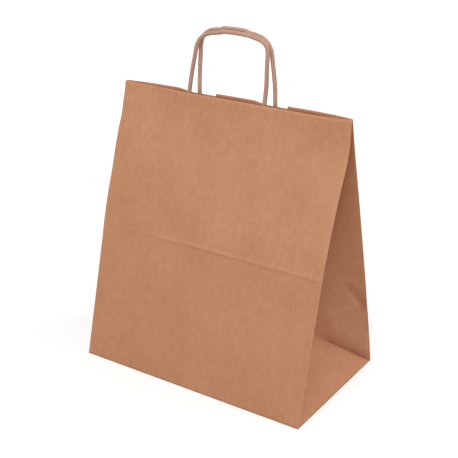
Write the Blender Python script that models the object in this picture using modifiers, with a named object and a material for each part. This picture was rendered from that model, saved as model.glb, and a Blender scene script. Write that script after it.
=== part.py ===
"""Brown paper carrier bag with two twisted paper handles, standing open on its block bottom.

One sheet of paper makes the whole bag: two panels, two gussets that fold inward, and the bottom
flaps. Each handle is a twisted paper cord whose two legs are glued between a pair of paper strips
inside the rim. X runs across the front panel, the front faces -Y, and the base rests on Z = 0.
"""
import math

import bmesh
import bpy
import numpy as np
from mathutils import Vector

# The sheet, in metres
PAPER = 0.0002
BAG_WIDTH = 0.305
BAG_DEPTH = 0.180
FRONT_HEIGHT = 0.345
BACK_RIM_DROP = 0.003
CREASE_HEIGHT = 0.170
FOLD_CLEARANCE = 0.0006
GLUE_GAP = 0.0003

# How the open bag stands: pinched at the rim's corners, with the panels bowed apart between them
RIM_PLY_CLEARANCE = 0.0010
RIM_MIDDLE_Y = 0.0056
FRONT_RIM_BOW = 0.0020
BACK_RIM_BOW = 0.0060
LEFT_FOLD_BULGE = 0.0056
RIGHT_FOLD_TUCK = 0.0022

# The block bottom's glued flaps, and the glued lap that runs up the back panel
BOTTOM_OVERLAP = 0.025
BASE_ROLL = 0.0010
FLAP_INSET = 0.0016
LAP_WIDTH = 0.020
LAP_INSET = 0.012
LAP_STEP = 0.0004

# The two shallow notches in the back panel's rim, one at each leg of the back handle
NOTCH_DEPTH = 0.003
NOTCH_HALF_WIDTH = 0.022
NOTCH_SLOPE = 0.008
NOTCH_STEP = 0.001

# The handles, whose legs come up between the gussets
CORD_RADIUS = 0.0025
LEG_TO_GUSSET = 0.0115
LOOP_TAPER = 0.0028
FRONT_LOOP_RISE = 0.0755
BACK_LOOP_RISE = 0.078
FRONT_HANDLE_X = -0.006
BACK_HANDLE_X = 0.005
FRONT_HANDLE_SWAY = 0.0092
BACK_HANDLE_SWAY = -0.0027
FRONT_LOOP_SHOULDERS = (0.023, 0.018)
BACK_LOOP_SHOULDERS = (0.023, 0.023)
LOOP_CROWN = 0.0035
LOOP_CLEARANCE = 0.0008

# The glued paper strips that hold the legs
STRIP_HEIGHT = 0.045
STRIP_BELOW_NOTCH = 0.003
STRIP_BEYOND_LEG = 0.019
STRIP_BELOW_CORD = 0.009
TENT_FLARE = 0.004

# Mesh density
FOLD_STEPS = 400
PANEL_COLUMNS = 10
GUSSET_COLUMNS = 6
ROWS_TO_CREASE = 3
ROWS_TO_RIM = 9
CORD_STEP = 0.005
TENT_ARC_STEPS = 2
STRIP_ROWS = 4
BACKING_COLUMNS = 8

# Colours, as linear red, green and blue
BAG_PAPER = (0.60, 0.27, 0.15)
CORD_PAPER = (0.47, 0.28, 0.20)
STRIP_PAPER = (0.52, 0.23, 0.12)

BACK_HEIGHT = FRONT_HEIGHT - BACK_RIM_DROP
CREASE_SHARE = CREASE_HEIGHT / FRONT_HEIGHT
GUSSET_HALF = BAG_DEPTH / 2
FOLD_GAP = PAPER + FOLD_CLEARANCE
FOLD_X = BAG_WIDTH / 2 - FOLD_GAP / 2
RIM_CORNER_GAP = 2 * FOLD_GAP + RIM_PLY_CLEARANCE
BASE_THICKNESS = 3 * PAPER
WALL_FOOT = BASE_THICKNESS - PAPER / 2

LEG_HALF = BAG_WIDTH / 2 - GUSSET_HALF - LEG_TO_GUSSET
LOOP_HALF = LEG_HALF - LOOP_TAPER
LOOPS_APART = 2 * CORD_RADIUS + LOOP_CLEARANCE
STRIP_DROP = NOTCH_DEPTH + STRIP_BELOW_NOTCH
STRIP_HALF = LEG_HALF + STRIP_BEYOND_LEG
CORD_GRIP = STRIP_DROP + STRIP_HEIGHT - STRIP_BELOW_CORD

# Distances of each layer's middle from the panel's middle, into the bag
BACKING_OFFSET = PAPER + GLUE_GAP
COVER_OFFSET = BACKING_OFFSET + PAPER + GLUE_GAP
CORD_OFFSET = BACKING_OFFSET + PAPER / 2 + GLUE_GAP + CORD_RADIUS
TENT_RADIUS = CORD_RADIUS + GLUE_GAP + PAPER / 2
TENT_HALF = CORD_RADIUS + TENT_FLARE

# Each panel's lean: share of its height, and lean there as a multiple of the panel's mean lean
FRONT_LEAN = [(0.0, 0.89), (CREASE_SHARE, 0.89), (CREASE_SHARE + 0.01, 1.06), (0.80, 1.42), (1.0, 0.20)]
BACK_LEAN = [(0.0, 0.80), (0.25, 1.00), (0.85, 1.12), (1.0, 0.90)]

# Where the front panel's side folds leave that lean: share of its height, and share of the amount
LEFT_BULGE = [(0.42, 0.0), (0.66, 0.36), (0.83, 1.0), (0.92, 0.57), (1.0, 0.0)]
RIGHT_TUCK = [(0.78, 0.0), (0.89, 1.0), (1.0, 0.0)]


def running_total(values, step):
    """The area under evenly spaced values, from the first up to each of them."""
    return np.concatenate([[0], np.cumsum((values[1:] + values[:-1]) / 2 * step)])


class Panel:
    """The front or back panel as it leans in, addressed by x and by height along its paper."""

    def __init__(self, side, height, run, bow, lean_profile, fold_shifts=()):
        self.side = side
        self.height = height
        self.bow = bow
        self.fold_shifts = fold_shifts
        self.paper = np.linspace(0, height, FOLD_STEPS)
        step = height / (FOLD_STEPS - 1)
        shares, leans = zip(*lean_profile)
        lean = np.interp(self.paper / height, shares, leans)
        slope = lean * run / running_total(lean, step)[-1]
        self.run = running_total(slope, step)
        self.rise = running_total(np.sqrt(1 - slope ** 2), step)

    def run_at(self, v):
        """How far the side fold has leaned in at paper height v."""
        return float(np.interp(v, self.paper, self.run))

    def rise_at(self, v):
        """How far the side fold has risen at paper height v."""
        return float(np.interp(v, self.paper, self.rise))

    def shift_at(self, x, v):
        """How far the paper leaves its even lean in Y, most at a side fold and none at the middle."""
        shift = 0.0
        for fold_side, amount, profile in self.fold_shifts:
            shares, parts = zip(*profile)
            part = float(np.interp(v / self.height, shares, parts))
            across = max(0.0, fold_side * 2 * x / BAG_WIDTH)
            shift += amount * part * across ** 2 * (3 - 2 * across)
        return shift

    def point(self, x, v):
        """A point on the middle of the panel's paper."""
        bulge = self.bow * (v / self.height) ** 2 * (1 - (2 * x / BAG_WIDTH) ** 4)
        y = self.side * (BAG_DEPTH / 2 - self.run_at(v) + bulge) + self.shift_at(x, v)
        return Vector((x, y, WALL_FOOT + self.rise_at(v)))

    def fold_point(self, side, v):
        """A point on the panel's left or right fold, both given as if on the right."""
        place = self.point(side * FOLD_X, v)
        return Vector((FOLD_X, place.y, place.z))

    def inside_point(self, x, v, offset):
        """A point at a distance from the panel's middle, measured square to it into the bag."""
        reach = 0.002
        near = min(v, self.height - reach)
        across = self.point(x + reach, near) - self.point(x - reach, near)
        along = self.point(x, near + reach) - self.point(x, near - reach)
        inward = across.cross(along).normalized() * self.side
        return self.point(x, v) + inward * offset


def make_panels():
    """The front and back panels, whose side folds nearly meet at the rim."""
    front_run = BAG_DEPTH / 2 + RIM_MIDDLE_Y - RIM_CORNER_GAP / 2
    back_run = BAG_DEPTH / 2 - RIM_MIDDLE_Y - RIM_CORNER_GAP / 2
    shifts = [(-1, -LEFT_FOLD_BULGE, LEFT_BULGE), (1, RIGHT_FOLD_TUCK, RIGHT_TUCK)]
    front = Panel(-1, FRONT_HEIGHT, front_run, FRONT_RIM_BOW, FRONT_LEAN, shifts)
    back = Panel(1, BACK_HEIGHT, back_run, BACK_RIM_BOW, BACK_LEAN)
    return front, back


def even_steps(start, end, count):
    """Evenly spaced values from the start up to, but without, the end."""
    return [start + (end - start) * i / count for i in range(count)]


def row_heights(panel):
    """Paper heights of the wall's rows: up to the gusset's triangle, the crease, and the rim."""
    crease = CREASE_SHARE * panel.height
    return (even_steps(0, GUSSET_HALF, GUSSET_COLUMNS)
            + even_steps(GUSSET_HALF, crease, ROWS_TO_CREASE)
            + even_steps(crease, panel.height, ROWS_TO_RIM) + [panel.height])


def gusset_apex(front, back):
    """The top of the flat triangle that the block bottom folds into a gusset, as if on the right."""
    run = (front.run_at(GUSSET_HALF) + back.run_at(GUSSET_HALF)) / 2
    rise = (front.rise_at(GUSSET_HALF) + back.rise_at(GUSSET_HALF)) / 2
    height = GUSSET_HALF * (GUSSET_HALF - run) / rise
    inset = math.sqrt(GUSSET_HALF ** 2 - height ** 2)
    return Vector((FOLD_X - inset, 0, WALL_FOOT + height))


def gusset_folds(front, back, rows, side):
    """A gusset's middle fold from the apex to the rim, set by the paper's own lengths.

    The points of either gusset are given as if on the right.
    """
    folds = [gusset_apex(front, back)]
    upper = rows[GUSSET_COLUMNS:]
    for (front_below, back_below), (front_v, back_v) in zip(upper, upper[1:]):
        below = folds[-1]
        step = (front_v + back_v - front_below - back_below) / 2
        front_edge = front.fold_point(side, front_v)
        back_edge = back.fold_point(side, back_v)
        edge_z = (front_edge.z + back_edge.z) / 2
        half_gap = (back_edge.y - front_edge.y) / 2
        fold = below + Vector((0, 0, step))
        for _ in range(20):
            x = FOLD_X - math.sqrt(GUSSET_HALF ** 2 - half_gap ** 2 - (edge_z - fold.z) ** 2)
            y = (front.point(side * x, front_v).y + back.point(side * x, back_v).y) / 2
            climb = math.sqrt(step ** 2 - (x - below.x) ** 2 - (y - below.y) ** 2)
            fold = Vector((x, y, below.z + climb))
        folds.append(fold)
    return folds


def gusset_row(row, edges, feet, fold):
    """One row of a gusset, as if on the right: its front ply, its middle fold, and its back ply.

    Below the apex each ply turns at a crease that climbs from the base's corner, and the paper
    between the two creases is flat.
    """
    wing = min(row, GUSSET_COLUMNS)
    flat = GUSSET_COLUMNS - wing
    creases = [foot.lerp(fold, wing / GUSSET_COLUMNS) for foot in feet]
    middle = (creases[0] + creases[1]) / 2
    plies = []
    for edge, crease, side in zip(edges, creases, (-1, 1)):
        end = middle + Vector((0, side * FOLD_GAP / 2, 0))
        corner = crease if flat else end
        ply = [edge.lerp(corner, i / wing) for i in range(wing)]
        ply += [corner.lerp(end, i / flat) for i in range(flat)]
        plies.append(ply + [end])
    tip = middle if flat else middle - Vector((FOLD_GAP / 2, 0, 0))
    return plies[0] + [tip] + plies[1][::-1]


def gusset_rings(front, back, rows, side):
    """A gusset's rows of points, as if on the right, from the front panel's fold to the back's."""
    folds = gusset_folds(front, back, rows, side)
    past_fold = Vector((0, FOLD_GAP, 0))
    fold_out = Vector((FOLD_GAP / 2, 0, 0))
    feet = [front.fold_point(side, 0) + past_fold, back.fold_point(side, 0) - past_fold]
    rings = []
    for row, (front_v, back_v) in enumerate(rows):
        front_edge = front.fold_point(side, front_v)
        back_edge = back.fold_point(side, back_v)
        edges = [front_edge + past_fold, back_edge - past_fold]
        fold = folds[max(row - GUSSET_COLUMNS, 0)]
        rings.append([front_edge + past_fold / 2 + fold_out] + gusset_row(row, edges, feet, fold)
                     + [back_edge - past_fold / 2 + fold_out])
    return rings


def lap_columns():
    """The x positions that bound the glued lap on the back panel, with a short step at each side."""
    left = -BAG_WIDTH / 2 + LAP_INSET
    right = left + LAP_WIDTH
    return [left - LAP_STEP, left, right, right + LAP_STEP]


def wall_rings(front, back):
    """The wall's middle surface as closed rings of points, from the base up, and the lap's places.

    Each ring runs along the front panel, the right gusset, the back panel and the left gusset.
    """
    rows = list(zip(row_heights(front), row_heights(back)))
    right = gusset_rings(front, back, rows, 1)
    left = [[Vector((-p.x, p.y, p.z)) for p in reversed(ring)]
            for ring in gusset_rings(front, back, rows, -1)]
    front_x = even_steps(-FOLD_X, FOLD_X, PANEL_COLUMNS) + [FOLD_X]
    lap_x = lap_columns()
    back_x = sorted(lap_x + [x for x in front_x if not lap_x[0] < x < lap_x[-1]], reverse=True)
    rings = []
    for (front_v, back_v), right_ring, left_ring in zip(rows, right, left):
        rings.append([front.point(x, front_v) for x in front_x] + right_ring
                     + [back.point(x, back_v) for x in back_x] + left_ring)
    back_start = len(front_x) + len(right[0])
    lap_places = [back_start + back_x.index(x) for x in lap_x[1:3]]
    gusset_starts = [len(front_x) + 1, back_start + len(back_x) + 1]
    return rings, lap_places, gusset_starts


def sheet_surface(front, back):
    """The wall and the floor as one open mesh, and the points of it that lie on the glued lap.

    In a gusset each cell is cut along the crease that climbs from the base's corner to the apex.
    """
    rings, lap_places, gusset_starts = wall_rings(front, back)
    around = len(rings[0])
    lap_points = [row * around + place for row in range(1, len(rings) + 1) for place in lap_places]
    x_share = 1 - BASE_ROLL / FOLD_X
    y_share = 1 - BASE_ROLL / GUSSET_HALF
    rings.insert(0, [Vector((p.x * x_share, p.y * y_share, p.z)) for p in rings[0]])
    climbing = {start + i for start in gusset_starts for i in range(GUSSET_COLUMNS + 1)}
    faces = [tuple(reversed(range(around)))]
    for row in range(len(rings) - 1):
        for column in range(around):
            low = row * around + column
            low_next = row * around + (column + 1) % around
            high = low + around
            high_next = low_next + around
            if column in climbing:
                faces += [(low, low_next, high_next), (low, high_next, high)]
            else:
                faces += [(low, low_next, high), (low_next, high_next, high)]
    mesh = bpy.data.meshes.new("bag_body")
    mesh.from_pydata([point for ring in rings for point in ring], [], faces)
    return mesh, lap_points


def curve_to_mesh(name, curve, height=0.0):
    """A closed mesh object made from a curve lifted to a height, with its caps welded on."""
    source = bpy.data.objects.new(name + "_curve", curve)
    source.location.z = height
    bpy.context.scene.collection.objects.link(source)
    depsgraph = bpy.context.evaluated_depsgraph_get()
    mesh = bpy.data.meshes.new_from_object(source.evaluated_get(depsgraph))
    edit = bmesh.new()
    edit.from_mesh(mesh)
    bmesh.ops.remove_doubles(edit, verts=edit.verts, dist=1e-6)
    bmesh.ops.recalc_face_normals(edit, faces=edit.faces)
    edit.to_mesh(mesh)
    edit.free()
    made = bpy.data.objects.new(name, mesh)
    made.matrix_world = source.matrix_world
    bpy.data.objects.remove(source)
    return made


def plate(name, outline, bottom, top):
    """A flat piece of the given outline between two heights."""
    curve = bpy.data.curves.new(name, "CURVE")
    curve.dimensions = "2D"
    curve.fill_mode = "BOTH"
    curve.extrude = (top - bottom) / 2
    spline = curve.splines.new("POLY")
    spline.points.add(len(outline) - 1)
    for point, (x, y) in zip(spline.points, outline):
        point.co = (x, y, 0, 1)
    spline.use_cyclic_u = True
    return curve_to_mesh(name, curve, (top + bottom) / 2)


def bottom_flaps():
    """The block bottom's two long flaps, the front one first and the back one glued over it.

    The glued layers are one thickness, and each flap's edge is a step of one paper underneath.
    """
    wide = BAG_WIDTH / 2 - FLAP_INSET
    deep = BAG_DEPTH / 2 - FLAP_INSET
    reach = deep + BOTTOM_OVERLAP / 2
    flaps = []
    for name, side, bottom, top in (("bottom_front_flap", -1, PAPER, 2.6 * PAPER),
                                    ("bottom_back_flap", 1, 0.0, 2.3 * PAPER)):
        fold_y = side * deep
        edge_y = side * (deep - reach)
        outline = [(-wide, fold_y), (wide, fold_y), (wide - reach, edge_y), (reach - wide, edge_y)]
        flaps.append(plate(name, outline, bottom, top))
    return flaps


def notch_cutter(name, back, leg_x):
    """A prism that cuts one shallow notch in the back panel's rim, sloped at its left end."""
    rim = back.point(leg_x, back.height)
    left = leg_x - NOTCH_HALF_WIDTH
    right = leg_x + NOTCH_HALF_WIDTH
    floor = rim.z - NOTCH_DEPTH
    above = rim.z + NOTCH_DEPTH
    outline = [(left - NOTCH_SLOPE, above), (left + NOTCH_SLOPE, floor),
               (right - NOTCH_STEP, floor), (right + NOTCH_STEP, above)]
    near_y = (rim.y + RIM_MIDDLE_Y) / 2
    edit = bmesh.new()
    face = edit.faces.new([edit.verts.new((x, near_y, z)) for x, z in outline])
    swept = bmesh.ops.extrude_face_region(edit, geom=[face])
    far_points = [item for item in swept["geom"] if isinstance(item, bmesh.types.BMVert)]
    bmesh.ops.translate(edit, verts=far_points, vec=(0, 2 * (rim.y - near_y), 0))
    bmesh.ops.recalc_face_normals(edit, faces=edit.faces)
    mesh = bpy.data.meshes.new(name)
    edit.to_mesh(mesh)
    edit.free()
    return bpy.data.objects.new(name, mesh)


def add_boolean(body, other, operation, guides):
    """Join another object to the body or cut it away, and keep that object out of the model."""
    guides.objects.link(other)
    other.hide_render = True
    other.display_type = "WIRE"
    modifier = body.modifiers.new(other.name, "BOOLEAN")
    modifier.operation = operation
    modifier.solver = "EXACT"
    modifier.object = other


def make_bag_body(front, back, parts, guides):
    """The folded sheet: thickened, joined to its bottom flaps, and notched at the rim."""
    mesh, lap_points = sheet_surface(front, back)
    body = bpy.data.objects.new("bag_body", mesh)
    parts.objects.link(body)
    lap = body.vertex_groups.new(name="glued_lap")
    lap.add(lap_points, 1.0, "REPLACE")
    thicken = body.modifiers.new("paper", "SOLIDIFY")
    thicken.thickness = 2 * PAPER
    thicken.thickness_vertex_group = 0.5
    thicken.vertex_group = lap.name
    thicken.offset = 0.0
    for flap in bottom_flaps():
        add_boolean(body, flap, "UNION", guides)
    for name, side in (("left_notch_cutter", -1), ("right_notch_cutter", 1)):
        cutter = notch_cutter(name, back, BACK_HANDLE_X + side * LEG_HALF)
        add_boolean(body, cutter, "DIFFERENCE", guides)
    return body


def smooth_route(points, step):
    """Points at about equal steps along a smooth curve through the given points."""
    padded = [2 * points[0] - points[1]] + points + [2 * points[-1] - points[-2]]
    route = [points[0]]
    for before, start, end, after in zip(padded, padded[1:], padded[2:], padded[3:]):
        pieces = max(1, round((end - start).length / step))
        for i in range(1, pieces + 1):
            t = i / pieces
            route.append(0.5 * (2 * start + (end - before) * t
                                + (2 * before - 5 * start + 4 * end - after) * t ** 2
                                + (3 * start - before - 3 * end + after) * t ** 3))
    return route


def handle_route(panel, centre_x, sway, rise, shoulders, loop_y):
    """A handle's centre line: up one glued leg, around the loop, and down the other leg.

    The legs lie flat along the panel. Above the rim the loop leans sideways by the sway, narrows
    by its taper, turns at its left and right shoulders, and crowns at the full rise.
    """
    rim = panel.inside_point(centre_x, panel.height, CORD_OFFSET)
    turn_height = rise - LOOP_CROWN
    legs = []
    for side, shoulder in zip((-1, 1), shoulders):
        leg_x = centre_x + side * LEG_HALF
        leg = [panel.inside_point(leg_x, panel.height - CORD_GRIP * share, CORD_OFFSET)
               for share in (1.0, 0.66, 0.33, 0.0)]
        bends = [(LEG_HALF - LOOP_TAPER / 4, rise * 0.27),
                 (LOOP_HALF, rise * 0.56),
                 (LOOP_HALF - shoulder * 0.12, turn_height - shoulder * 0.55),
                 (LOOP_HALF - shoulder * 0.55, turn_height - shoulder * 0.10),
                 (LOOP_HALF - shoulder * 1.35, turn_height + LOOP_CROWN * 0.55),
                 (LOOP_HALF * 0.30, rise - LOOP_CROWN * 0.13)]
        for half, height in bends:
            share = height / rise
            x = centre_x + side * half + sway * share
            leg.append(Vector((x, rim.y + (loop_y - rim.y) * share, rim.z + height)))
        legs.append(leg)
    crown = Vector((centre_x + sway, loop_y, rim.z + rise))
    return smooth_route(legs[0] + [crown] + legs[1][::-1], CORD_STEP)


def make_cord(name, route, parts):
    """A twisted paper cord as a plain round tube along its route."""
    curve = bpy.data.curves.new(name, "CURVE")
    curve.dimensions = "3D"
    curve.bevel_depth = CORD_RADIUS
    curve.bevel_resolution = 3
    curve.use_fill_caps = True
    spline = curve.splines.new("POLY")
    spline.points.add(len(route) - 1)
    for point, place in zip(spline.points, route):
        point.co = (*place, 1)
    cord = curve_to_mesh(name, curve)
    cord.data.shade_smooth()
    parts.objects.link(cord)
    return cord


def tent_side():
    """Half of the channel that a cover strip makes over a leg: distance from the leg, and offset."""
    drop = CORD_OFFSET - COVER_OFFSET
    to_foot = math.hypot(TENT_HALF, drop)
    start = math.acos(TENT_RADIUS / to_foot) - math.atan2(drop, TENT_HALF)
    side = [(TENT_HALF, COVER_OFFSET)]
    for i in range(TENT_ARC_STEPS + 1):
        angle = start + (math.pi / 2 - start) * i / TENT_ARC_STEPS
        side.append((TENT_RADIUS * math.cos(angle), CORD_OFFSET + TENT_RADIUS * math.sin(angle)))
    return side


def cover_section(centre_x):
    """A cover strip's section: flat at its ends and its middle, and raised over each leg."""
    right = tent_side()
    tent = [(-away, offset) for away, offset in right] + right[-2::-1]
    flat_half = LEG_HALF - TENT_HALF
    section = [(-STRIP_HALF, COVER_OFFSET)]
    section += [(away - LEG_HALF, offset) for away, offset in tent]
    section += [(flat_half * share, COVER_OFFSET) for share in (-0.5, 0.0, 0.5)]
    section += [(away + LEG_HALF, offset) for away, offset in tent]
    section.append((STRIP_HALF, COVER_OFFSET))
    return [(centre_x + x, offset) for x, offset in section]


def backing_section(centre_x):
    """A backing strip's section, flat against the panel."""
    places = even_steps(-STRIP_HALF, STRIP_HALF, BACKING_COLUMNS) + [STRIP_HALF]
    return [(centre_x + x, BACKING_OFFSET) for x in places]


def make_strip(name, panel, section, parts):
    """A paper strip glued inside a panel, below its rim, with the given section across."""
    bottom = panel.height - STRIP_DROP - STRIP_HEIGHT
    edit = bmesh.new()
    rows = []
    for row in range(STRIP_ROWS + 1):
        v = bottom + STRIP_HEIGHT * row / STRIP_ROWS
        points = [edit.verts.new(panel.inside_point(x, v, offset)) for x, offset in section]
        rows.append([edit.edges.new(pair) for pair in zip(points, points[1:])])
    for lower, upper in zip(rows, rows[1:]):
        bmesh.ops.bridge_loops(edit, edges=lower + upper)
    bmesh.ops.recalc_face_normals(edit, faces=edit.faces)
    mesh = bpy.data.meshes.new(name)
    edit.to_mesh(mesh)
    edit.free()
    strip = bpy.data.objects.new(name, mesh)
    parts.objects.link(strip)
    thicken = strip.modifiers.new("paper", "SOLIDIFY")
    thicken.thickness = PAPER
    thicken.offset = 0.0
    return strip


def make_handle(label, panel, centre_x, sway, rise, shoulders, loop_y, parts):
    """One handle: its cord, the strip that backs it, and the strip that covers its legs."""
    route = handle_route(panel, centre_x, sway, rise, shoulders, loop_y)
    cord = make_cord(f"{label}_handle_cord", route, parts)
    paint(cord, f"{label}_cord_paper", CORD_PAPER)
    sections = (("backing", backing_section(centre_x)), ("cover", cover_section(centre_x)))
    for layer, section in sections:
        strip = make_strip(f"{label}_handle_{layer}_strip", panel, section, parts)
        paint(strip, f"{label}_{layer}_paper", STRIP_PAPER)


def paint(thing, name, color):
    """Give an object its own matt paper material."""
    material = bpy.data.materials.new(name)
    material.use_nodes = True
    shader = material.node_tree.nodes["Principled BSDF"]
    shader.inputs["Base Color"].default_value = (*color, 1)
    shader.inputs["Roughness"].default_value = 0.85
    shader.inputs["Metallic"].default_value = 0.0
    thing.data.materials.clear()
    thing.data.materials.append(material)


def main():
    """Build the bag and its two handles."""
    for thing in list(bpy.data.objects):
        bpy.data.objects.remove(thing)
    parts = bpy.data.collections.new("paper_carrier_bag")
    guides = bpy.data.collections.new("cutters_and_layers")
    for collection in (parts, guides):
        bpy.context.scene.collection.children.link(collection)
    front, back = make_panels()
    body = make_bag_body(front, back, parts, guides)
    paint(body, "bag_paper", BAG_PAPER)
    front_leg = front.inside_point(FRONT_HANDLE_X, front.height, CORD_OFFSET)
    back_leg = back.inside_point(BACK_HANDLE_X, back.height, CORD_OFFSET)
    loops_middle = (front_leg.y + back_leg.y) / 2
    make_handle("front", front, FRONT_HANDLE_X, FRONT_HANDLE_SWAY, FRONT_LOOP_RISE,
                FRONT_LOOP_SHOULDERS, loops_middle - LOOPS_APART / 2, parts)
    make_handle("back", back, BACK_HANDLE_X, BACK_HANDLE_SWAY, BACK_LOOP_RISE,
                BACK_LOOP_SHOULDERS, loops_middle + LOOPS_APART / 2, parts)


main()
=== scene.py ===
import math

import bmesh
import bpy
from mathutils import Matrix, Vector, noise


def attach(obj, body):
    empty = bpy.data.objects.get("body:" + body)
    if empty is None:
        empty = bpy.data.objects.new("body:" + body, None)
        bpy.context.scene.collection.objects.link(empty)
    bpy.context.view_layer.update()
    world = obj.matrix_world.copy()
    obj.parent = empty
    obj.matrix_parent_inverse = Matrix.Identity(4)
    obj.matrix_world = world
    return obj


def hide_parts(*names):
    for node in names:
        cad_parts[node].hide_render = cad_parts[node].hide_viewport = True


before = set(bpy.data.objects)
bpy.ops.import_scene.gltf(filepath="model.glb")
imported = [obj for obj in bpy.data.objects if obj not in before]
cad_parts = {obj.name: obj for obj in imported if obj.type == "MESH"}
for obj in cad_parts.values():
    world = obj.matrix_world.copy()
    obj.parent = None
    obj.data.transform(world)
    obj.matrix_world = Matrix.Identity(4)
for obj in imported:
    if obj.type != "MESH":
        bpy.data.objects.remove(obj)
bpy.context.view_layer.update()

# The camera stands a little above the bag's rim, in front of its right corner. The bag is upright
# in the frame, with the front panel to the left and the right gusset to the right.
CAMERA_AZIMUTH = math.radians(33.62)
CAMERA_ELEVATION = math.radians(22.80)
CAMERA_PLACE = (0.59254, -0.89026, 0.62357)
CAMERA_LENS_MM = 76.8

camera = bpy.data.objects.new("camera", bpy.data.cameras.new("camera"))
camera.data.lens = CAMERA_LENS_MM
camera.data.sensor_width = 36
camera.data.clip_end = 20
camera.location = CAMERA_PLACE
looking = Vector((-math.sin(CAMERA_AZIMUTH) * math.cos(CAMERA_ELEVATION),
                  math.cos(CAMERA_AZIMUTH) * math.cos(CAMERA_ELEVATION),
                  -math.sin(CAMERA_ELEVATION)))
camera.rotation_euler = looking.to_track_quat("-Z", "Y").to_euler()
bpy.context.scene.collection.objects.link(camera)
bpy.context.scene.camera = camera


# The bag is one sheet of brown wrapping paper. It is folded round into two panels and two gussets
# that turn inward, and its two ends are glued over each other in a lap on the back panel. A place
# on the paper is given by x across a panel, and by v, the height along the paper from the base.
SHEET = 0.00018
BAG_WIDTH = 0.305
BAG_DEPTH = 0.180
FRONT_HEIGHT = 0.345
BACK_HEIGHT = 0.342
CREASE_HEIGHT = 0.170
GUSSET_HALF = BAG_DEPTH / 2
FOLD_GAP = 0.0008
FOLD_X = BAG_WIDTH / 2 - FOLD_GAP / 2
WALL_FOOT = 0.0005
RIM_MIDDLE_Y = 0.0056
RIM_CORNER_GAP = 0.0026
CREASE_SHARE = CREASE_HEIGHT / FRONT_HEIGHT


def ease(value, start, end):
    """0 before the start, 1 after the end, and a smooth rise between them."""
    share = min(1, max(0, (value - start) / (end - start)))
    return share * share * (3 - 2 * share)


def between(value, knots):
    """The value at a place along knots, each one a place and its value, with smooth turns."""
    if value <= knots[0][0]:
        return knots[0][1]
    for (low, low_value), (high, high_value) in zip(knots, knots[1:]):
        if value <= high:
            return low_value + (high_value - low_value) * ease(value, low, high)
    return knots[-1][1]


class Panel:
    """The front or back panel as it leans in, bows and waves."""

    STEPS = 600

    def __init__(self, side, height, run, bow, leans, rim_waves, left_shifts, right_shifts):
        self.side = side
        self.height = height
        self.bow = bow
        self.rim_waves = rim_waves
        self.left_shifts = left_shifts
        self.right_shifts = right_shifts
        lean_at = [self.lean(leans, i / self.STEPS) for i in range(self.STEPS + 1)]
        mean = sum(lean_at) / len(lean_at)
        step = height / self.STEPS
        self.run = [0.0]
        self.rise = [0.0]
        for lean in lean_at[1:]:
            slope = lean / mean * run / height
            self.run.append(self.run[-1] + slope * step)
            self.rise.append(self.rise[-1] + math.sqrt(1 - slope ** 2) * step)

    @staticmethod
    def lean(leans, share):
        """The lean at a share of the height, along straight lines between the given leans."""
        for (low, low_lean), (high, high_lean) in zip(leans, leans[1:]):
            if share <= high:
                return low_lean + (high_lean - low_lean) * (share - low) / (high - low)
        return leans[-1][1]

    def read(self, table, v):
        """The run or the rise at paper height v."""
        place = min(max(v / self.height, 0), 1) * self.STEPS
        low = min(int(place), self.STEPS - 1)
        return table[low] + (table[low + 1] - table[low]) * (place - low)

    def point(self, x, v):
        """A point on the middle of the panel's paper."""
        across = 2 * x / BAG_WIDTH
        share = v / self.height
        bulge = self.bow * share ** 2 * (1 - across ** 4)
        wave = between(x, self.rim_waves) * ease(share, 0.62, 1.0)
        shift = (between(share, self.left_shifts) * ease(-across, 0.0, 1.0)
                 + between(share, self.right_shifts) * ease(across, 0.0, 1.0))
        y = self.side * (BAG_DEPTH / 2 - self.read(self.run, v) + bulge) + wave + shift
        return Vector((x, y, WALL_FOOT + self.read(self.rise, v)))

    def inside_point(self, x, v, offset):
        """A point at a distance from the panel's middle, measured square to it into the bag."""
        reach = 0.002
        near = min(v, self.height - reach)
        across = self.point(x + reach, near) - self.point(x - reach, near)
        along = self.point(x, near + reach) - self.point(x, near - reach)
        inward = across.cross(along).normalized() * self.side
        return self.point(x, v) + inward * offset


front_panel = Panel(
    side=-1, height=FRONT_HEIGHT, bow=0.0020,
    run=BAG_DEPTH / 2 + RIM_MIDDLE_Y - RIM_CORNER_GAP / 2,
    leans=[(0.0, 0.89), (CREASE_SHARE, 0.89), (CREASE_SHARE + 0.01, 1.06), (0.80, 1.42), (1.0, 0.20)],
    rim_waves=[(-0.1525, 0.0), (-0.110, 0.0018), (-0.080, 0.0002), (-0.057, -0.0021), (-0.010, -0.0014),
               (0.045, -0.0020), (0.075, -0.0018), (0.105, -0.0026), (0.135, -0.0010), (0.1525, 0.0)],
    left_shifts=[(0.42, 0.0), (0.66, -0.0020), (0.83, -0.0056), (0.92, -0.0032), (1.0, 0.0)],
    right_shifts=[(0.78, 0.0), (0.89, 0.0022), (1.0, 0.0)])
back_panel = Panel(
    side=1, height=BACK_HEIGHT, bow=0.0060,
    run=BAG_DEPTH / 2 - RIM_MIDDLE_Y - RIM_CORNER_GAP / 2,
    leans=[(0.0, 0.80), (0.25, 1.00), (0.85, 1.12), (1.0, 0.90)],
    rim_waves=[(-0.1525, 0.0), (-0.100, 0.0006), (-0.060, -0.0006), (0.000, 0.0004), (0.060, -0.0004),
               (0.110, 0.0010), (0.1525, 0.0)],
    left_shifts=[(0.0, 0.0), (1.0, 0.0)], right_shifts=[(0.0, 0.0), (1.0, 0.0)])

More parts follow.
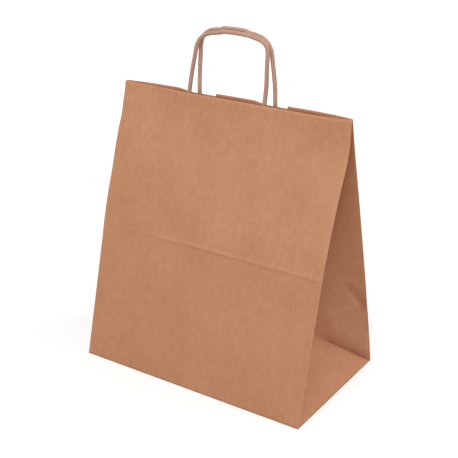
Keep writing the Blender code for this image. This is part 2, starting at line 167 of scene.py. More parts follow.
PAPER_STEP = 0.0038
FINE_STEP = 0.0026
GUSSET_STEPS = 34
FOLD_SIDES = (0.0007, 0.0022)
CREASE_ROWS = (0.0048, 0.0030, 0.0018, 0.0008)
FOLD_TURNS = (45, 90, 135)
LAP_LEFT = -BAG_WIDTH / 2 + 0.012
LAP_RIGHT = LAP_LEFT + 0.020
LAP_LIFT = 0.00011
LEG_HALF = 0.051
BACK_HANDLE_X = 0.005
NOTCH_DEPTH = 0.003
NOTCH_SLOPE = 0.008
NOTCHES = ((BACK_HANDLE_X - LEG_HALF - 0.022, BACK_HANDLE_X - LEG_HALF + 0.020),
           (BACK_HANDLE_X + LEG_HALF - 0.022, BACK_HANDLE_X + LEG_HALF + 0.0133))
ROLL_UNDER = ((0.0008, 0.0002), (0.0002, 0.0003))


def spread(start, end, step, close=()):
    """Places from the start to the end at about equal steps, with closer ones near both ends."""
    sign = 1 if end > start else -1
    places = [start] + [start + sign * gap for gap in close]
    last = [end - sign * gap for gap in reversed(close)] + [end]
    count = max(1, round(abs(last[0] - places[-1]) / step))
    inner = [places[-1] + (last[0] - places[-1]) * i / count for i in range(1, count)]
    return places + inner + last


def paper_rows():
    """Each row's paper heights on the front and back panels, from the base up to the rim.

    The rows are close together up to the gussets' buckles, and at the crease.
    """
    lower = [GUSSET_HALF * i / GUSSET_STEPS for i in range(GUSSET_STEPS)]
    middle = spread(GUSSET_HALF, CREASE_HEIGHT - CREASE_ROWS[0], FINE_STEP)
    crease = [CREASE_HEIGHT - gap for gap in CREASE_ROWS[1:]] + [CREASE_HEIGHT]
    crease += [CREASE_HEIGHT + gap for gap in CREASE_ROWS[:0:-1]]
    upper = spread(CREASE_HEIGHT + CREASE_ROWS[0], FRONT_HEIGHT, PAPER_STEP)
    shrink = (BACK_HEIGHT - GUSSET_HALF) / (FRONT_HEIGHT - GUSSET_HALF)
    front = lower + middle + crease + upper
    return [(v, v if v < GUSSET_HALF else GUSSET_HALF + (v - GUSSET_HALF) * shrink) for v in front]


def rim_cut(x):
    """How far the back panel's rim is cut down at x: a shallow notch round each handle leg."""
    cut = 0.0
    for left, right in NOTCHES:
        if x <= right:
            cut = max(cut, min(1, max(0, (x - left + NOTCH_SLOPE) / (2 * NOTCH_SLOPE))))
    return NOTCH_DEPTH * cut


def gusset_folds(rows, side):
    """A gusset's middle fold, from the bottom triangle's top to the rim.

    Its depth and height follow from the paper's own lengths, as the gusset can't stretch.
    """
    run = sum(panel.read(panel.run, GUSSET_HALF) for panel in (front_panel, back_panel)) / 2
    rise = sum(panel.read(panel.rise, GUSSET_HALF) for panel in (front_panel, back_panel)) / 2
    height = GUSSET_HALF * (GUSSET_HALF - run) / rise
    inset = math.sqrt(GUSSET_HALF ** 2 - height ** 2)
    folds = [Vector((side * (FOLD_X - inset), 0, WALL_FOOT + height))]
    upper = rows[GUSSET_STEPS:]
    for (front_below, back_below), (front_v, back_v) in zip(upper, upper[1:]):
        below = folds[-1]
        step = (front_v + back_v - front_below - back_below) / 2
        front_edge = front_panel.point(side * FOLD_X, front_v)
        back_edge = back_panel.point(side * FOLD_X, back_v)
        edge_z = (front_edge.z + back_edge.z) / 2
        half_gap = (back_edge.y - front_edge.y) / 2
        fold = below + Vector((0, 0, step))
        for _ in range(20):
            inset = math.sqrt(GUSSET_HALF ** 2 - half_gap ** 2 - (edge_z - fold.z) ** 2)
            x = side * (FOLD_X - inset)
            y = (front_panel.point(x, front_v).y + back_panel.point(x, back_v).y) / 2
            climb = math.sqrt(max(0, step ** 2 - (x - below.x) ** 2 - (y - below.y) ** 2))
            fold = Vector((x, y, below.z + climb))
        folds.append(fold)
    return folds


def turn_back(start, end, outward):
    """The points of a half-round fold between two plies, which bulges outward."""
    centre = (start + end) / 2
    reach = (start - end) / 2
    return [centre + reach * math.cos(math.radians(turn)) + outward * math.sin(math.radians(turn))
            for turn in FOLD_TURNS]


def gusset_ply(edge, crease, end, wing):
    """One ply of a gusset in one row, from the panel's fold to the middle fold."""
    flat = GUSSET_STEPS - wing
    ply = [edge.lerp(crease, i / wing) for i in range(wing)]
    ply += [crease.lerp(end, i / flat) for i in range(flat)]
    return ply + [end]


def gusset_row(side, row, front_v, back_v, fold):
    """One row of a gusset, from the front fold to the back fold."""
    past = Vector((0, FOLD_GAP, 0))
    out = Vector((side * FOLD_GAP / 2, 0, 0))
    front_edge = front_panel.point(side * FOLD_X, front_v)
    back_edge = back_panel.point(side * FOLD_X, back_v)
    feet = [front_panel.point(side * FOLD_X, 0) + past, back_panel.point(side * FOLD_X, 0) - past]
    wing = min(row, GUSSET_STEPS)
    creases = [foot.lerp(fold, wing / GUSSET_STEPS) for foot in feet]
    middle = (creases[0] + creases[1]) / 2
    ends = [middle - past / 2, middle + past / 2]
    above_triangle = wing == GUSSET_STEPS
    if above_triangle:
        creases = ends
    front_ply = gusset_ply(front_edge + past, creases[0], ends[0], wing)
    back_ply = gusset_ply(back_edge - past, creases[1], ends[1], wing)
    tip = turn_back(ends[0], ends[1], -out * above_triangle)
    return (turn_back(front_edge, front_edge + past, out) + front_ply + tip + back_ply[::-1]
            + turn_back(back_edge - past, back_edge, out))


def ridge(distance, width):
    """A rounded ridge's height, 1 at its line and nothing past about twice its width."""
    return math.exp(-(distance / width) ** 2)


def ripple(x, v, size, seed):
    """Smooth random waves between -1 and 1, of about the given size."""
    return noise.noise(Vector((x / size, v / size, seed)))


# No panel of such a bag is flat. Soft waves and finer ripples run over each one, and a crease goes
# across it where the flat bag was once folded in two. All of them die out at the folds.
WAVE_STRETCH = 0.6
RIPPLE_HEIGHT = 0.0001
RIPPLE_SIZE = 0.018
STIFF_FOOT = 0.05
STIFF_EDGE = 0.004
CREASE_WANDER = 0.0006
CREASE_RIDGE = 0.0006
CREASE_WIDTH = 0.0018
BACK_CREASE_RIDGE = 0.00018
BACK_CREASE_WIDTH = 0.0019


def above_crease(x, v):
    """The height over the front panel's crease, which wanders a little."""
    return v - CREASE_HEIGHT - CREASE_WANDER * ripple(x, 0, 0.060, 1.3)


def crease_strength(x):
    """The front crease is faint at the left and plain from the middle on."""
    return 0.30 + 0.70 * ease(x, -0.11, -0.02)


def panel_relief(x, v, wave_height, wave_size, seeds, crease):
    """How far a panel's paper stands out: soft waves, finer ripples and the ridge of its crease."""
    soft = (wave_height * ripple(x, v * WAVE_STRETCH, wave_size, seeds[0])
            + RIPPLE_HEIGHT * ripple(x, v, RIPPLE_SIZE, seeds[1]))
    return (soft * ease(v, 0.0, STIFF_FOOT) + crease) * (1 - ridge(abs(x) - FOLD_X, STIFF_EDGE))


def front_relief(x, v):
    """How far the front panel's paper stands out."""
    crease = CREASE_RIDGE * crease_strength(x) * ridge(above_crease(x, v), CREASE_WIDTH)
    return panel_relief(x, v, 0.0005, 0.070, (3.1, 7.7), crease)


def back_relief(x, v):
    """How far the back panel's paper stands out."""
    crease = BACK_CREASE_RIDGE * ridge(v - CREASE_HEIGHT, BACK_CREASE_WIDTH)
    return panel_relief(x, v, 0.0006, 0.080, (12.4, 17.9), crease)


# Each gusset is bent across, tucked in over its bottom triangle, and buckled softly on its back
# ply, close to the back fold. The buckle's line is given by the share from the middle fold to the
# back fold, and the height on the paper.
BUCKLE_LINE = ((0.70, 0.130), (0.79, 0.120), (0.865, 0.106), (0.945, 0.094), (0.960, 0.074))
BUCKLE_DEPTH = 0.0030
BUCKLE_WIDTH = 0.0050
BEND_DEPTH = 0.0026
BEND_WIDTH = 0.0100
BEND_HEIGHT = 0.143
BEND_DROP = 0.010
LEVEL_RIDGE = 0.0006
LEVEL_WIDTH = 0.0022
TUCK_HEIGHT = 0.0030
TUCK_WIDTH = 0.0050
TUCK_ENDS = (0.008, 0.040)
GUSSET_WAVE = 0.0008
GUSSET_WAVE_SIZE = 0.050
SOFT_SHARE = 0.40


def on_buckle(share, v):
    """1 on the buckle's line and 0 away from it. It fades out at both its ends."""
    nearest, gone = 1.0, 0.0
    for i, (start, end) in enumerate(zip(BUCKLE_LINE, BUCKLE_LINE[1:])):
        step = Vector(((end[0] - start[0]) * GUSSET_HALF, end[1] - start[1]))
        away = Vector(((share - start[0]) * GUSSET_HALF, v - start[1]))
        along = min(1, max(0, away.dot(step) / step.length_squared))
        distance = (away - step * along).length
        if distance < nearest:
            nearest, gone = distance, (i + along) / (len(BUCKLE_LINE) - 1)
    return ridge(nearest, BUCKLE_WIDTH) * ease(gone, 0.0, 0.25) * (1 - ease(gone, 0.8, 1.0))


def past_diagonal(share, v):
    """The distance on the paper from a bottom triangle's slanting crease, positive above it."""
    return (v - GUSSET_HALF * (1 - share)) / math.sqrt(2)


def gusset_relief(side, ply, share, v):
    """How far a gusset's paper stands out. The share is 0 at the middle fold and 1 at the panel."""
    distance = past_diagonal(share, v)
    above_triangle = ease(distance, 0.0, 0.004)
    held = ease(share, 0.0, 0.15) * (1 - ease(share, 0.90, 1.0))
    soft = GUSSET_WAVE * ripple(share * GUSSET_HALF * ply, v, GUSSET_WAVE_SIZE, 21.0 + side)
    level = LEVEL_RIDGE * ridge(v - GUSSET_HALF, LEVEL_WIDTH) * ease(share, 0.25, 0.45)
    bend_height = BEND_HEIGHT - BEND_DROP * ease(share, 0.60, 1.0)
    bend = BEND_DEPTH * ridge(v - bend_height, BEND_WIDTH) * ease(share, 0.35, 0.62)
    tuck = TUCK_HEIGHT * (1 - math.exp(-max(0, distance) / TUCK_WIDTH)) * (1 - ease(distance, *TUCK_ENDS))
    tuck *= ease(share, 0.30, 0.55) * (1 - ease(share, 0.93, 1.0))
    stands_out = (soft + level - bend) * held * above_triangle + tuck
    if ply > 0:
        stands_out -= BUCKLE_DEPTH * on_buckle(share, v) * above_triangle
    return stands_out


def sheet_lines():
    """The whole sheet as rows of points, from its inner end at the lap round to its outer end.

    Also each column's part of the bag with its place there, and each row's paper heights.
    """
    rows = paper_rows()
    folds = {side: gusset_folds(rows, side) for side in (-1, 1)}
    front_x = spread(-FOLD_X, FOLD_X, PAPER_STEP, FOLD_SIDES)
    notch_x = [x for left, right in NOTCHES
               for x in (left - NOTCH_SLOPE, left + NOTCH_SLOPE, right, right + 0.0006)]
    back_x = notch_x + [x for x in spread(FOLD_X, LAP_LEFT, PAPER_STEP, FOLD_SIDES)
                        if min(abs(x - notch) for notch in notch_x) > 0.0012]
    back_x.sort(reverse=True)
    lap_x = spread(LAP_RIGHT, -FOLD_X, PAPER_STEP, FOLD_SIDES)
    shares = [i / GUSSET_STEPS for i in range(GUSSET_STEPS + 1)]
    gusset = [(-1, share) for share in [1.0] * 3 + shares[::-1]]
    gusset += [(1, share) for share in [0.0] * 3 + shares + [1.0] * 3]
    columns = ([("lap", x) for x in lap_x] + [("left gusset", place) for place in gusset[::-1]]
               + [("front", x) for x in front_x] + [("right gusset", place) for place in gusset]
               + [("back", x) for x in back_x])
    lines = []
    for row, (front_v, back_v) in enumerate(rows):
        above = max(row - GUSSET_STEPS, 0)
        near_rim = ease(back_v, BACK_HEIGHT - 0.012, BACK_HEIGHT)
        line = [back_panel.point(x, back_v) - Vector((0, LAP_LIFT * ease(x, -0.1435, -0.141), 0))
                for x in lap_x]
        line += gusset_row(-1, row, front_v, back_v, folds[-1][above])[::-1]
        line += [front_panel.point(x, front_v) for x in front_x]
        line += gusset_row(1, row, front_v, back_v, folds[1][above])
        line += [back_panel.point(x, back_v - rim_cut(x) * near_rim)
                 + Vector((0, LAP_LIFT * ease(-x, 0.1185, 0.1205), 0)) for x in back_x]
        lines.append(line)
    rolled = [[Vector((p.x * (1 - inset / FOLD_X), p.y * (1 - inset / GUSSET_HALF), height))
               for p in lines[0]] for inset, height in ROLL_UNDER]
    under = [(-0.0010, -0.0010), (-0.0005, -0.0005)]
    return rolled + lines, columns, under + rows


def relief(part, place, front_v, back_v):
    """How far a column's paper stands out at a row."""
    if part == "front":
        return front_relief(place, front_v)
    if part in ("back", "lap"):
        return back_relief(place, back_v)
    return gusset_relief(1 if part == "right gusset" else -1, *place, front_v)


# Paper is rubbed lighter along an outer fold, over about a millimetre and a half to each side, with a
# painted highlight there too. Painted shade darkens the hollows of inner folds and buckles.
WEAR_AND_SHADING_WIDTH = 0.0016
CREASE_HIGHLIGHT_WIDTH = 0.0013
HOLLOW_SHADE_WIDTH = 0.0014


def gusset_wear_and_painted_shading(ply, share, v):
    """How light or dark a gusset is at a place: rubbed wear with a painted highlight on its folds, a lighter
    line on its level crease, and painted shade in its hollows.
    """
    distance = past_diagonal(share, v)
    # Rubbed wear with a painted highlight along the outer and middle folds.
    outer_fold = 0.4 * ridge((1 - share) * GUSSET_HALF, WEAR_AND_SHADING_WIDTH)
    middle_fold = 0.5 * ridge(share * GUSSET_HALF, WEAR_AND_SHADING_WIDTH) * ease(v, GUSSET_HALF, GUSSET_HALF + 0.004)
    level = 0.5 * ridge(v - GUSSET_HALF - 0.002, WEAR_AND_SHADING_WIDTH) * ease(share, 0.35, 0.50)
    level *= 1 - ease(share, 0.80, 0.88)
    # Painted shade in the hollow just above the slanting crease.
    hollow = 1.5 * ridge(distance - 0.0004, HOLLOW_SHADE_WIDTH)
    hollow += 0.7 * ease(distance, 0.0, 0.001) * (1 - ease(distance, 0.002, 0.012))
    hollow *= ease(share, 0.30, 0.50)
    # Painted shade in the buckle's groove on the back ply.
    if ply > 0:
        hollow += 1.2 * on_buckle(share, v) * ease(distance, 0.0, 0.004)
    return outer_fold + middle_fold + level - hollow


def fold_wear_and_painted_shading(part, place, v):
    """How light the paper is at a place, from rubbed wear and a painted highlight, or how dark from painted
    shade, if below 0.
    """
    if "gusset" in part:
        return gusset_wear_and_painted_shading(*place, v)
    # Rubbed wear with a painted highlight along the side folds.
    wear_and_painted_light = 0.5 * ridge(abs(place) - FOLD_X, WEAR_AND_SHADING_WIDTH)
    if part == "front":
        distance = above_crease(place, v)
        # The front crease gets a painted highlight just above its ridge and painted shade just below it.
        crease = 0.5 * (ridge(distance - 0.0008, CREASE_HIGHLIGHT_WIDTH) - ridge(distance + 0.0022, WEAR_AND_SHADING_WIDTH))
        wear_and_painted_light += crease_strength(place) * crease
    return wear_and_painted_light


def paper_grid(columns, rows):
    """A flat grid of cells, and each vertex's column and row in it."""
    edit = bmesh.new()
    edit.loops.layers.uv.new("paper")
    edit.verts.layers.float.new("fold_wear_and_painted_shading")
    bmesh.ops.create_grid(edit, x_segments=columns - 1, y_segments=rows - 1, size=1.0)
    place_of = {vert: (round((vert.co.x + 1) / 2 * (columns - 1)),
                       round((vert.co.y + 1) / 2 * (rows - 1))) for vert in edit.verts}
    return edit, place_of


def shape_grid(edit, place_of, point_at, map_at, wear_and_shading_at=None):
    """Move a grid's vertices to their points, and lay out its paper map and the wear and painted shading of
    its folds.
    """
    paper_map = edit.loops.layers.uv["paper"]
    fold_wear_and_painted_shading = edit.verts.layers.float["fold_wear_and_painted_shading"]
    for vert, (column, row) in place_of.items():
        vert.co = point_at(column, row)
        vert[fold_wear_and_painted_shading] = wear_and_shading_at(column, row) if wear_and_shading_at else 0.0
    for face in edit.faces:
        face.smooth = True
        for loop in face.loops:
            loop[paper_map].uv = map_at(*place_of[loop.vert])
    edit.normal_update()


def split_at_creases(sheet, place_of, columns, foot):
    """Cut the cells on the bottom triangles' slanting creases, sharp but for their inner ends."""
    vert_at = {place: vert for vert, place in place_of.items()}
    for column in range(len(columns) - 1):
        (part, place), (next_part, next_place) = columns[column:column + 2]
        if "gusset" not in part or part != next_part or place[1] == next_place[1]:
            continue
        outer, inner = (column, column + 1) if place[1] > next_place[1] else (column + 1, column)
        row = foot + round((1 - max(place[1], next_place[1])) * GUSSET_STEPS)
        low, high = vert_at[(outer, row)], vert_at[(inner, row + 1)]
        shared = set(low.link_faces) & set(high.link_faces)
        bmesh.utils.face_split(shared.pop(), low, high)
        crease = next(edge for edge in low.link_edges if edge.other_vert(low) == high)
        crease.smooth = max(place[1], next_place[1]) < SOFT_SHARE


def add_paper(name, edit, material, nodes=(), thickness=0.0):
    """A finished grid as a piece of the bag's one body, which stands for the given CAD nodes."""
    data = bpy.data.meshes.new(name)
    edit.to_mesh(data)
    edit.free()
    data.materials.append(material)
    piece = bpy.data.objects.new(name, data)
    bpy.context.scene.collection.objects.link(piece)
    if thickness:
        solidify = piece.modifiers.new("paper thickness", "SOLIDIFY")
        solidify.thickness = thickness
        solidify.offset = 0.0
    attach(piece, "root")
    if nodes:
        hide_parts(*nodes)
    return piece


def add_node(tree, kind, inputs, **settings):
    """A shader node with its settings, and its inputs as values or as links from other nodes."""
    node = tree.nodes.new(kind)
    for key, value in settings.items():
        setattr(node, key, value)
    for socket, value in inputs.items():
        if isinstance(value, bpy.types.NodeSocket):
            tree.links.new(value, node.inputs[socket])
        else:
            node.inputs[socket].default_value = value
    return node


def paper_material(name, light, dark, roughness, rib_depth):
    """Matt brown paper: cloudy in tone, with upright machine streaks, fine ribs, fibres and flecks.

    It is laid out on the piece's own paper map, which holds distances in metres.
    """
    material = bpy.data.materials.new(name)
    material.use_nodes = True
    tree = material.node_tree
    shader = tree.nodes["Principled BSDF"]
    paper_map = add_node(tree, "ShaderNodeUVMap", {}, uv_map="paper").outputs["UV"]

    def pattern(width, height, detail, turn=0.0):
        """Noise on the paper, of the given size across and up."""
        mapping = add_node(tree, "ShaderNodeMapping",
                           {"Vector": paper_map, "Rotation": (0, 0, math.radians(turn)),
                            "Scale": (1 / width, 1 / height, 1)})
        texture = add_node(tree, "ShaderNodeTexNoise", {"Vector": mapping.outputs["Vector"],
                                                        "Scale": 1.0, "Detail": detail, "Roughness": 0.6})
        return texture.outputs["Fac"]

    def weigh(value, low, high, low_out, high_out):
        """A pattern's value moved from one range to another."""
        return add_node(tree, "ShaderNodeMapRange",
                        {"Value": value, "From Min": low, "From Max": high,
                         "To Min": low_out, "To Max": high_out}).outputs["Result"]

    def combine(operation, first, second):
        """Two values multiplied or added."""
        return add_node(tree, "ShaderNodeMath", {0: first, 1: second}, operation=operation).outputs["Value"]

    clouds = pattern(0.045, 0.060, 3)
    mottle = pattern(0.006, 0.010, 3)
    streaks = pattern(0.0022, 0.090, 2)
    grain = pattern(0.00035, 0.0006, 2)
    fibres = [pattern(0.0032, 0.00028, 1, turn) for turn in (68, 104, 21)]
    flecks = pattern(0.0011, 0.0014, 1)
    ribs = pattern(0.0011, 0.200, 0)
    # Rubbed wear, painted highlights along folds and creases, and painted shade in hollows and grooves, read
    # from a vertex attribute.
    wear_and_painted_shading = add_node(tree, "ShaderNodeAttribute", {}, attribute_name="fold_wear_and_painted_shading").outputs["Fac"]
    tones = [weigh(clouds, 0.3, 0.7, 0.975, 1.025), weigh(mottle, 0.3, 0.7, 0.975, 1.025),
             weigh(streaks, 0.3, 0.7, 0.975, 1.025), weigh(grain, 0.25, 0.75, 0.96, 1.04),
             weigh(flecks, 0.76, 0.80, 1.0, 0.80), weigh(wear_and_painted_shading, -2.0, 2.0, 0.80, 1.20)]
    tones += [weigh(fibre, 0.66, 0.74, 1.0, 0.90) for fibre in fibres]
    tones += [weigh(fibre, 0.27, 0.34, 1.07, 1.0) for fibre in fibres]
    tone = tones[0]
    for other in tones[1:]:
        tone = combine("MULTIPLY", tone, other)
    blend = weigh(combine("ADD", clouds, mottle), 0.7, 1.3, 0.0, 1.0)
    hue = add_node(tree, "ShaderNodeMix", {"Factor": blend}, data_type="RGBA")
    hue.inputs[6].default_value = (*dark, 1)
    hue.inputs[7].default_value = (*light, 1)
    colour = add_node(tree, "ShaderNodeVectorMath", {0: hue.outputs[2], "Scale": tone}, operation="SCALE")
    height = combine("ADD", combine("MULTIPLY", grain, 0.5), combine("MULTIPLY", fibres[0], 0.35))
    height = combine("ADD", height, combine("MULTIPLY", ribs, rib_depth))
    bump = add_node(tree, "ShaderNodeBump", {"Height": height, "Strength": 0.35, "Distance": 0.00012})
    tree.links.new(colour.outputs["Vector"], shader.inputs["Base Color"])
    tree.links.new(weigh(grain, 0.2, 0.8, roughness - 0.06, roughness + 0.06), shader.inputs["Roughness"])
    tree.links.new(bump.outputs["Normal"], shader.inputs["Normal"])
    shader.inputs["Specular IOR Level"].default_value = 0.25
    return material


lines, columns, heights = sheet_lines()
foot = len(ROLL_UNDER)
paper_across = [0.0]
for before, after in zip(lines[foot], lines[foot][1:]):
    paper_across.append(paper_across[-1] + (after - before).length)
sheet, place_of = paper_grid(len(columns), len(lines))
shape_grid(sheet, place_of, lambda column, row: lines[row][column],
           lambda column, row: (paper_across[column], heights[row][0]),
           lambda column, row: fold_wear_and_painted_shading(*columns[column], heights[row][0]))
for vert, (column, row) in place_of.items():
    if row >= foot:
        vert.co += vert.normal * relief(*columns[column], *heights[row])
split_at_creases(sheet, place_of, columns, foot)
bag_paper = paper_material("brown_bag_paper", (0.596, 0.288, 0.158), (0.570, 0.260, 0.138), 0.86, 0.3)
add_paper("bag_sheet", sheet, bag_paper, ["bag_body"], SHEET)

# The block bottom is the sheet's own ends, folded under and glued flat: two side flaps that turn
# in with the gussets' triangles and close the floor, then the front flap, and over it the back
# flap, both cut at 45 degrees.
FLOOR_INSET = 0.0009
FLAP_INSET = 0.0016
FLAP_REACH = BAG_DEPTH / 2 + 0.0125
LAYER_STEP = 0.00020
FLAT_COLUMNS = 60
FLAT_ROWS = 30


def flat_paper(name, half_x, low_y, high_y, height, cuts=()):
    """A flat piece of paper at a height, cut away past lines given as a place and a direction."""

    def map_at(column, row):
        return half_x * (2 * column / FLAT_COLUMNS - 1), low_y + (high_y - low_y) * row / FLAT_ROWS

    edit, place_of = paper_grid(FLAT_COLUMNS + 1, FLAT_ROWS + 1)
    shape_grid(edit, place_of, lambda column, row: Vector((*map_at(column, row), height)), map_at)
    for place, away in cuts:
        geometry = edit.verts[:] + edit.edges[:] + edit.faces[:]
        bmesh.ops.bisect_plane(edit, geom=geometry, plane_co=place, plane_no=away, clear_outer=True)
    add_paper(name, edit, bag_paper, thickness=SHEET)


flat_paper("bag_floor", BAG_WIDTH / 2 - FLOOR_INSET, FLOOR_INSET - BAG_DEPTH / 2, BAG_DEPTH / 2 - FLOOR_INSET,
           WALL_FOOT + LAYER_STEP / 2)
wide = BAG_WIDTH / 2 - FLAP_INSET
deep = BAG_DEPTH / 2 - FLAP_INSET
for name, side, layer in (("bottom_front_flap", -1, 1), ("bottom_back_flap", 1, 3)):
    fold, edge = side * deep, side * (deep - FLAP_REACH)
    corner_cuts = [((end * wide, fold, 0), (end, -side, 0)) for end in (-1, 1)]
    flat_paper(name, wide, min(fold, edge), max(fold, edge), WALL_FOOT - LAYER_STEP * layer / 2, corner_cuts)

# Each handle is a cord of brown paper, tightly twisted from one ribbon. Both its legs are glued
# inside the rim, and the loop stands up over it. The twist leaves long slanting grooves.
CORD_RADIUS = 0.0025
CORD_SIDES = 28
CORD_TWIST = 0.021
CORD_STEP = 0.0011
CORD_OFFSET = 0.0034
CORD_GRIP = 0.042
CORD_GROOVES = ((0, 0.075, 0.24), (122, 0.035, 0.32), (236, 0.050, 0.28))
LOOP_CLEARANCE = 0.0008
LOOP_CROWN = 0.0035
LOOP_TAPER = 0.0028
FRONT_HANDLE_X = -0.006
HANDLES = (("front", front_panel, FRONT_HANDLE_X, 0.0092, 0.0755, (0.023, 0.018), -1),
           ("back", back_panel, BACK_HANDLE_X, -0.0027, 0.0780, (0.023, 0.023), 1))


def smooth_route(bends, step):
    """Points at equal steps along a smooth curve through the given points, and its length."""
    padded = [2 * bends[0] - bends[1]] + bends + [2 * bends[-1] - bends[-2]]
    fine = [bends[0]]
    for before, start, end, after in zip(padded, padded[1:], padded[2:], padded[3:]):
        for i in range(1, 41):
            t = i / 40
            fine.append(0.5 * (2 * start + (end - before) * t
                               + (2 * before - 5 * start + 4 * end - after) * t ** 2
                               + (3 * start - before - 3 * end + after) * t ** 3))
    length = sum((b - a).length for a, b in zip(fine, fine[1:]))
    count = round(length / step)
    route = [fine[0]]
    gone = 0.0
    for a, b in zip(fine, fine[1:]):
        part = (b - a).length
        while len(route) < count and gone + part >= len(route) * length / count:
            route.append(a.lerp(b, (len(route) * length / count - gone) / part))
        gone += part
    return route + [fine[-1]], length


def handle_route(panel, centre_x, sway, rise, shoulders, loop_y):
    """A handle's centre line: up one glued leg, around the loop, and down the other leg."""
    rim = panel.inside_point(centre_x, panel.height, CORD_OFFSET)
    turn_height = rise - LOOP_CROWN
    loop_half = LEG_HALF - LOOP_TAPER
    legs = []
    for side, shoulder in zip((-1, 1), shoulders):
        leg_x = centre_x + side * LEG_HALF
        leg = [panel.inside_point(leg_x, panel.height - CORD_GRIP * share, CORD_OFFSET)
               for share in (1.0, 0.66, 0.33, 0.0)]
        bends = [(LEG_HALF - LOOP_TAPER / 4, rise * 0.27),
                 (loop_half, rise * 0.56),
                 (loop_half - shoulder * 0.12, turn_height - shoulder * 0.55),
                 (loop_half - shoulder * 0.55, turn_height - shoulder * 0.10),
                 (loop_half - shoulder * 1.35, turn_height + LOOP_CROWN * 0.55),
                 (loop_half * 0.30, rise - LOOP_CROWN * 0.13)]
        for half, height in bends:
            share = height / rise
            x = centre_x + side * half + sway * share
            leg.append(Vector((x, rim.y + (loop_y - rim.y) * share, rim.z + height)))
        legs.append(leg)
    crown = Vector((centre_x + sway, loop_y, rim.z + rise))
    return smooth_route(legs[0] + [crown] + legs[1][::-1], CORD_STEP)


def cord_frames(route):
    """A side direction for each of the route's points, square to it and without any twist."""
    frames = []
    side = Vector((0, 1, 0))
    for before, after in zip([route[0]] + route[:-1], route[1:] + [route[-1]]):
        ahead = (after - before).normalized()
        side = (side - ahead * side.dot(ahead)).normalized()
        frames.append((side, ahead.cross(side)))
    return frames


def groove_depth(angle):
    """How deep the twist's grooves are at an angle round the cord, as a share of its radius."""
    return sum(share * ridge(math.remainder(angle - math.radians(centre), 2 * math.pi), width)
               for centre, share, width in CORD_GROOVES)


def twisted_cord(name, route, length, seed, material, node):
    """A cord along the route, whose grooved section turns as it goes."""
    frames = cord_frames(route)
    gone = [length * i / (len(route) - 1) for i in range(len(route))]
    turns = [2 * math.pi * s / CORD_TWIST + 0.9 * ripple(s, 0, 0.035, seed) for s in gone]
    around = [2 * math.pi * i / CORD_SIDES for i in range(CORD_SIDES + 1)]

    def point_at(column, row):
        angle = around[column % CORD_SIDES]
        swell = 1 + 0.030 * ripple(gone[row], 0, 0.015, seed + 3)
        swell += 0.02 * ripple(gone[row], math.sin(angle) * 0.01, 0.006, seed + 5)
        reach = CORD_RADIUS * (swell - groove_depth(angle - turns[row]))
        side, third = frames[row]
        return route[row] + side * math.cos(angle) * reach + third * math.sin(angle) * reach

    edit, place_of = paper_grid(CORD_SIDES + 1, len(route))
    # The twist's grooves are darkened with painted shade.
    shape_grid(edit, place_of, point_at,
               lambda column, row: ((around[column] - turns[row]) * CORD_RADIUS, gone[row]),
               lambda column, row: -8 * groove_depth(around[column % CORD_SIDES] - turns[row]))
    bmesh.ops.remove_doubles(edit, verts=edit.verts, dist=1e-6)
    bmesh.ops.holes_fill(edit, edges=[edge for edge in edit.edges if edge.is_boundary])
    bmesh.ops.recalc_face_normals(edit, faces=edit.faces)
    add_paper(name, edit, material, [node])


front_rim = front_panel.inside_point(FRONT_HANDLE_X, front_panel.height, CORD_OFFSET)
back_rim = back_panel.inside_point(BACK_HANDLE_X, back_panel.height, CORD_OFFSET)
loops_middle = (front_rim.y + back_rim.y) / 2
loops_apart = 2 * CORD_RADIUS + LOOP_CLEARANCE
cord_paper = paper_material("twisted_cord_paper", (0.560, 0.342, 0.258), (0.505, 0.298, 0.218), 0.80, 0.1)
for label, panel, centre_x, sway, rise, shoulders, side in HANDLES:
    loop_y = loops_middle + side * loops_apart / 2
    route, length = handle_route(panel, centre_x, sway, rise, shoulders, loop_y)
    twisted_cord(f"{label}_twisted_cord", route, length, 5.0 + side, cord_paper, f"{label}_handle_cord")

# Each leg is held by two glued strips of the same paper: a backing strip flat on the panel, and a
# cover strip that lies on it and rises over the cord like a low tent.
STRIP_HEIGHT = 0.045
STRIP_TOP_DROP = 0.006
STRIP_HALF = LEG_HALF + 0.019
STRIP_ROWS = 20
BACKING_OFFSET = 0.0005
COVER_OFFSET = 0.0010
TENT_RADIUS = CORD_RADIUS + 0.0004
TENT_HALF = CORD_RADIUS + 0.004
TENT_ROUND = TENT_RADIUS * 0.55


def tent_offset(away):
    """How far a cover strip stands off the panel at a distance from a leg's middle."""
    if away < TENT_ROUND:
        return CORD_OFFSET + math.sqrt(TENT_RADIUS ** 2 - away ** 2)
    shoulder = CORD_OFFSET + math.sqrt(TENT_RADIUS ** 2 - TENT_ROUND ** 2)
    share = min(1, (away - TENT_ROUND) / (TENT_HALF - TENT_ROUND))
    slump = share + 0.03 * math.sin(math.pi * share)
    return shoulder + (COVER_OFFSET - shoulder) * slump


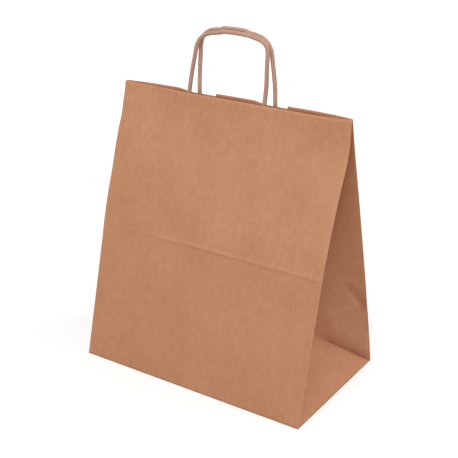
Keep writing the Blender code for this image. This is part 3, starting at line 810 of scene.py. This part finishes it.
def glued_strip(name, panel, centre_x, node, offset_at, crinkle):
    """A strip inside a panel, below its rim, at the given offsets from the panel's middle."""
    legs = (centre_x - LEG_HALF, centre_x + LEG_HALF)
    places = [x for x in spread(centre_x - STRIP_HALF, centre_x + STRIP_HALF, 0.0032)
              if min(abs(x - leg) for leg in legs) > TENT_HALF + 0.001]
    places += [leg + TENT_HALF * i / 10 for leg in legs for i in range(-10, 11)]
    places.sort()
    bottom = panel.height - STRIP_TOP_DROP - STRIP_HEIGHT

    def map_at(column, row):
        return places[column], bottom + STRIP_HEIGHT * row / STRIP_ROWS

    def point_at(column, row):
        x, v = map_at(column, row)
        lift = crinkle * (1 + ripple(x, v, 0.009, 31.0)) / 2
        return panel.inside_point(x, v, offset_at(min(abs(x - leg) for leg in legs)) + lift)

    edit, place_of = paper_grid(len(places), STRIP_ROWS + 1)
    shape_grid(edit, place_of, point_at, map_at)
    add_paper(name, edit, strip_paper, [node], SHEET)


strip_paper = paper_material("handle_strip_paper", (0.540, 0.262, 0.142), (0.515, 0.240, 0.125), 0.88, 0.2)
for label, panel, centre_x in (handle[:3] for handle in HANDLES):
    glued_strip(f"{label}_backing", panel, centre_x, f"{label}_handle_backing_strip",
                lambda away: BACKING_OFFSET, 0.00004)
    glued_strip(f"{label}_cover", panel, centre_x, f"{label}_handle_cover_strip", tent_offset, 0.00025)

# The bag stands on a white floor in a soft white room. To the camera the room and the floor are
# plain white, apart from the bag's own soft shadow.
FLOOR_WHITE = 0.66
NEAR_GLOW = 0.47
FAR_GLOW = 0.70
GLOW_STARTS = 0.35
GLOW_FULL = 1.60
ROOM_LIGHT = 0.44
LAMPS = (("key_lamp", (0.15, -0.85, 1.5), 1.1, 14.2), ("side_lamp", (1.3, 1.1, 1.5), 1.2, 15.4))


def seen_directly(tree):
    """1 for what the camera sees, straight or in a shiny or clear surface, and 0 for other light."""
    path = add_node(tree, "ShaderNodeLightPath", {}).outputs
    seen = add_node(tree, "ShaderNodeMath", {0: path["Is Camera Ray"], 1: path["Is Glossy Ray"]},
                    operation="MAXIMUM").outputs["Value"]
    return add_node(tree, "ShaderNodeMath", {0: seen, 1: path["Is Transmission Ray"]},
                    operation="MAXIMUM").outputs["Value"]


floor_mesh = bpy.data.meshes.new("floor")
edit = bmesh.new()
bmesh.ops.create_grid(edit, x_segments=1, y_segments=1, size=6.0)
edit.to_mesh(floor_mesh)
edit.free()
floor = bpy.data.objects.new("floor", floor_mesh)
bpy.context.scene.collection.objects.link(floor)
white = bpy.data.materials.new("white_floor")
white.use_nodes = True
shader = white.node_tree.nodes["Principled BSDF"]
shader.inputs["Base Color"].default_value = (FLOOR_WHITE, FLOOR_WHITE, FLOOR_WHITE, 1)
shader.inputs["Roughness"].default_value = 0.9
shader.inputs["Emission Color"].default_value = (1, 1, 1, 1)
tree = white.node_tree
place = add_node(tree, "ShaderNodeNewGeometry", {}).outputs["Position"]
distance = add_node(tree, "ShaderNodeVectorMath", {0: place}, operation="LENGTH").outputs["Value"]
spread_glow = add_node(tree, "ShaderNodeMapRange",
                       {"Value": distance, "From Min": GLOW_STARTS, "From Max": GLOW_FULL,
                        "To Min": NEAR_GLOW, "To Max": FAR_GLOW}).outputs["Result"]
glow = add_node(tree, "ShaderNodeMath", {0: seen_directly(tree), 1: spread_glow}, operation="MULTIPLY")
tree.links.new(glow.outputs["Value"], shader.inputs["Emission Strength"])
floor_mesh.materials.append(white)

world = bpy.data.worlds.new("studio")
bpy.context.scene.world = world
world.use_nodes = True
background = world.node_tree.nodes["Background"]
background.inputs["Color"].default_value = (1, 1, 1, 1)
strength = add_node(world.node_tree, "ShaderNodeMapRange", {"Value": seen_directly(world.node_tree),
                                                            "To Min": ROOM_LIGHT, "To Max": 1.0})
world.node_tree.links.new(strength.outputs["Result"], background.inputs["Strength"])

for name, place, size, power in LAMPS:
    lamp = bpy.data.objects.new(name, bpy.data.lights.new(name, "AREA"))
    lamp.data.size = size
    lamp.data.energy = power
    lamp.location = place
    lamp.rotation_euler = (Vector((0, 0, 0.2)) - lamp.location).to_track_quat("-Z", "Y").to_euler()
    bpy.context.scene.collection.objects.link(lamp)

bpy.context.scene.view_settings.view_transform = "Standard"
